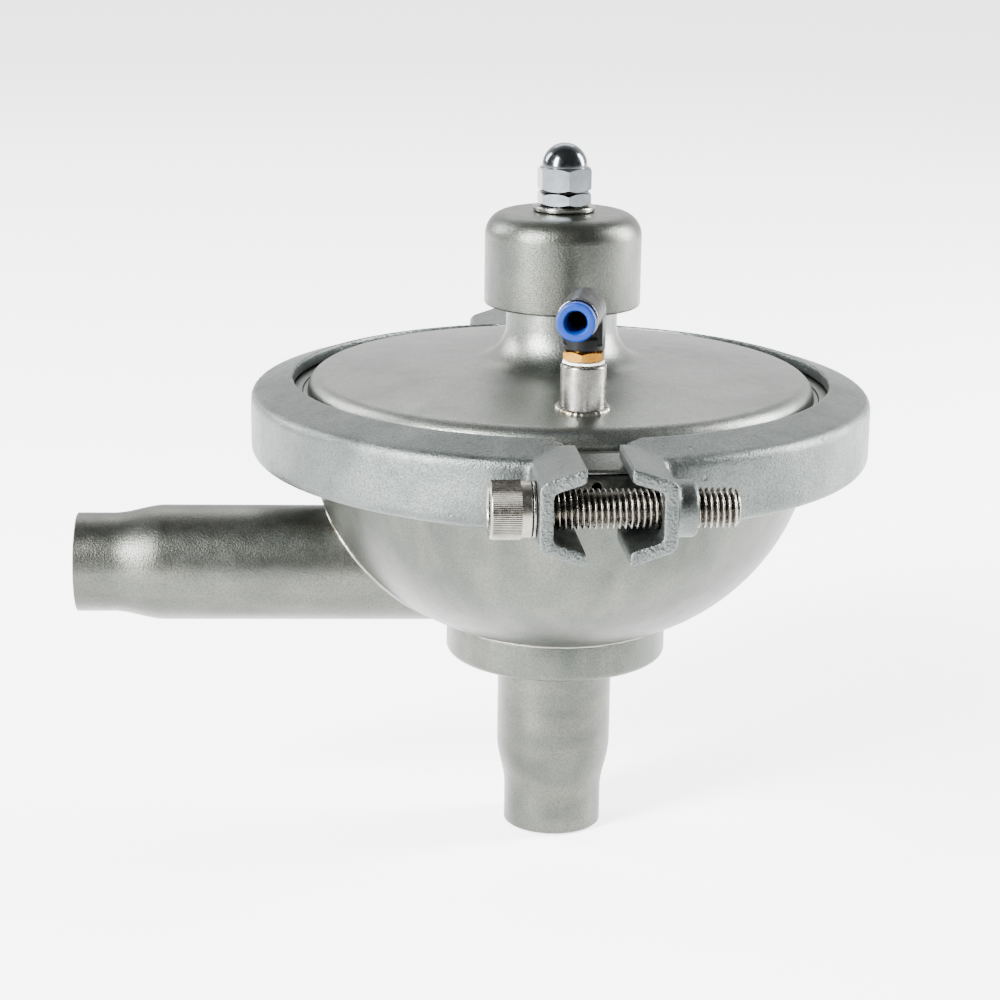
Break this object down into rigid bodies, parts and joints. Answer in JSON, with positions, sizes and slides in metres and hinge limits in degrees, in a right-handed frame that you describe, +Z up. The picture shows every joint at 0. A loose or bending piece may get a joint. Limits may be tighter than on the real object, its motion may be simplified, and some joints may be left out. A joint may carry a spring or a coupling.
{
  "type": "diaphragm valve",
  "caption": "Sanitary constant-pressure diaphragm valve: bowl body with side inlet and bottom outlet tubes, domed cover with bell bonnet and air elbow, held by a split screwed clamp.",
  "frame": {"origin": "centre of the outlet tube weld end", "axes": "+Z up along the valve axis, the inlet tube runs along -X, the clamp gap faces -Y, turned 2.8 degrees about Z"},
  "size_m": [0.2592, 0.2496, 0.2302],
  "materials": {
    "blasted_steel": "bead blasted stainless steel, matt grey",
    "cast_steel": "investment cast stainless steel, fine rough skin",
    "bright_steel": "machined stainless steel, bright",
    "dark_steel": "cold formed stainless steel, darker with oil in the thread",
    "brass": "turned brass",
    "black_plastic": "moulded black polymer",
    "blue_plastic": "moulded blue polymer",
    "white_tape": "white thread seal tape",
    "black_rubber": "black rubber, matt",
    "white_polymer": "white bearing polymer"
  },
  "bodies": {
    "housing": {"bowl": "blasted_steel", "seat_housing": "blasted_steel", "seat_ring": "bright_steel", "seat_oring": "black_rubber", "inlet_tube": "blasted_steel", "outlet_tube": "blasted_steel", "cover": "blasted_steel", "guide_bush": "white_polymer", "stem_seal": "black_rubber", "seal_retainer": "bright_steel", "bonnet": "blasted_steel", "top_washer": "bright_steel", "air_boss": "blasted_steel", "fitting_stud": "brass", "thread_tape": "white_tape"},
    "valve_stem": {"stem": "bright_steel", "plug": "bright_steel", "lower_disc": "bright_steel", "diaphragm": "black_rubber", "upper_disc": "bright_steel", "diaphragm_nut": "bright_steel", "stem_collar": "bright_steel", "bias_spring": "dark_steel"},
    "adjusting_spindle": {"spindle": "dark_steel", "lock_nut": "bright_steel", "cap_nut": "bright_steel"},
    "spring_seat": {"spring_seat": "bright_steel"},
    "air_elbow": {"elbow": "black_plastic", "mouth_ring": "bright_steel", "grip_ring": "bright_steel", "tube_seal": "black_rubber", "swivel_seal": "black_rubber"},
    "release_collar": {"release_collar": "blue_plastic"},
    "clamp_left": {"clamp_half_left": "cast_steel"},
    "clamp_right": {"clamp_half_right": "cast_steel"},
    "washer_front": {"clamp_washer_front": "bright_steel"},
    "screw_front": {"clamp_screw_front": "dark_steel"},
    "washer_rear": {"clamp_washer_rear": "bright_steel"},
    "screw_rear": {"clamp_screw_rear": "dark_steel"}
  },
  "joints": [
    {"name": "stem_lift", "type": "slide", "parent": "housing", "child": "valve_stem", "axis": [0, 0, 1], "range_m": [0, 0.007], "deforming": ["diaphragm", "bias_spring"]},
    {"name": "spindle_turn", "type": "hinge", "parent": "housing", "child": "adjusting_spindle", "pos_m": [0, 0, 0.21], "axis": [0, 0, 1], "range_deg": [-180, 360]},
    {"name": "spring_seat_travel", "type": "slide", "parent": "housing", "child": "spring_seat", "axis": [0, 0, 1], "range_m": [-0.0008, 0.0016]},
    {"name": "elbow_swivel", "type": "hinge", "parent": "housing", "child": "air_elbow", "pos_m": [0.0027, -0.061, 0.18], "axis": [0, 0, 1], "continuous": true},
    {"name": "release_press", "type": "slide", "parent": "air_elbow", "child": "release_collar", "axis": [0.1908, 0.9816, 0], "range_m": [0, 0.0012], "stiffness_N_per_m": 800},
    {"name": "clamp_right_slide", "type": "slide", "parent": "housing", "child": "clamp_right", "axis": [0.9988, 0.0488, 0], "range_m": [0, 0.0035]},
    {"name": "clamp_left_slide", "type": "slide", "parent": "housing", "child": "clamp_left", "axis": [-0.9988, -0.0488, 0], "range_m": [0, 0.0036]},
    {"name": "front_washer_slide", "type": "slide", "parent": "clamp_right", "child": "washer_front", "axis": [-0.9988, -0.0488, 0], "range_m": [0, 0.0071]},
    {"name": "front_screw_turn", "type": "hinge", "parent": "washer_front", "child": "screw_front", "pos_m": [0.00552, -0.11286, 0.14], "axis": [-0.9988, -0.0488, 0], "range_deg": [0, 1445]},
    {"name": "rear_washer_slide", "type": "slide", "parent": "clamp_left", "child": "washer_rear", "axis": [0.9988, 0.0488, 0], "range_m": [0, 0.0071]},
    {"name": "rear_screw_turn", "type": "hinge", "parent": "washer_rear", "child": "screw_rear", "pos_m": [-0.00552, 0.11286, 0.14], "axis": [0.9988, 0.0488, 0], "range_deg": [0, 1445]}
  ],
  "couplings": [
    {"joint": "spring_seat_travel", "follows": "spindle_turn", "m_per_rad": 0.00023873},
    {"joint": "clamp_left_slide", "follows": "clamp_right_slide", "ratio": 1},
    {"joint": "front_washer_slide", "follows": "clamp_right_slide", "ratio": 2},
    {"joint": "front_screw_turn", "follows": "clamp_right_slide", "rad_per_m": 7180.8},
    {"joint": "rear_washer_slide", "follows": "clamp_right_slide", "ratio": 2},
    {"joint": "rear_screw_turn", "follows": "clamp_right_slide", "rad_per_m": 7180.8}
  ]
}
